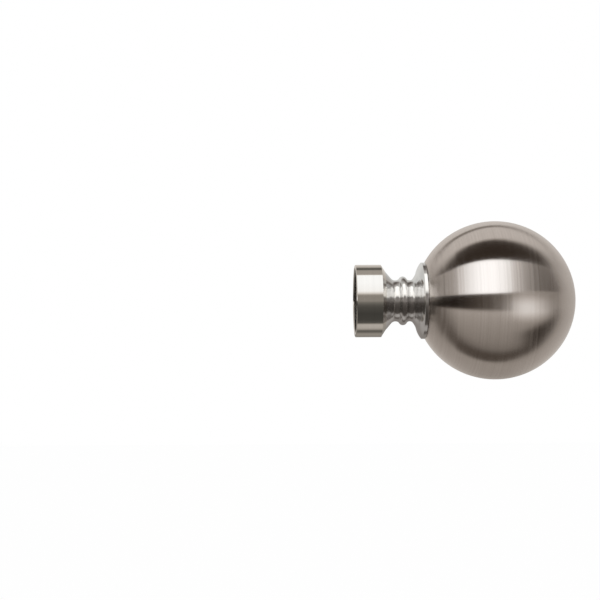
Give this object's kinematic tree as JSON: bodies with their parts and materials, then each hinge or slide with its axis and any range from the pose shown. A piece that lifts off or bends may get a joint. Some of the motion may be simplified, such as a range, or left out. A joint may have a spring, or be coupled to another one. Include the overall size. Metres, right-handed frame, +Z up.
{
  "type": "curtain pole finial",
  "caption": "Ball finial for a curtain pole: a socketed end collar, a turned beaded neck and a hollow brushed metal ball.",
  "frame": {"origin": "centre of the socket's floor, where the end of the pole stops", "axes": "+X along the pole's axis, out of the pole towards the ball; +Z up; the viewer who sees the picture's side looks along +Y"},
  "size_m": [0.0948, 0.0688, 0.0688],
  "materials": {
    "collar_nickel": "satin nickel plate on steel, fine turning lines round the axis",
    "neck_nickel": "bright nickel plate on turned steel, fine turning lines round the axis",
    "ball_nickel": "warm satin nickel plate on spun steel, brushed in circles round the axis",
    "insert_brass": "plain turned brass, hidden inside the ball",
    "screw_steel": "zinc plated steel"
  },
  "bodies": {
    "root": {"end_collar": "collar_nickel", "neck": "neck_nickel", "ball": "ball_nickel", "ball_insert": "insert_brass", "fixing_screw": "screw_steel", "grub_screw": "screw_steel"}
  },
  "joints": []
}
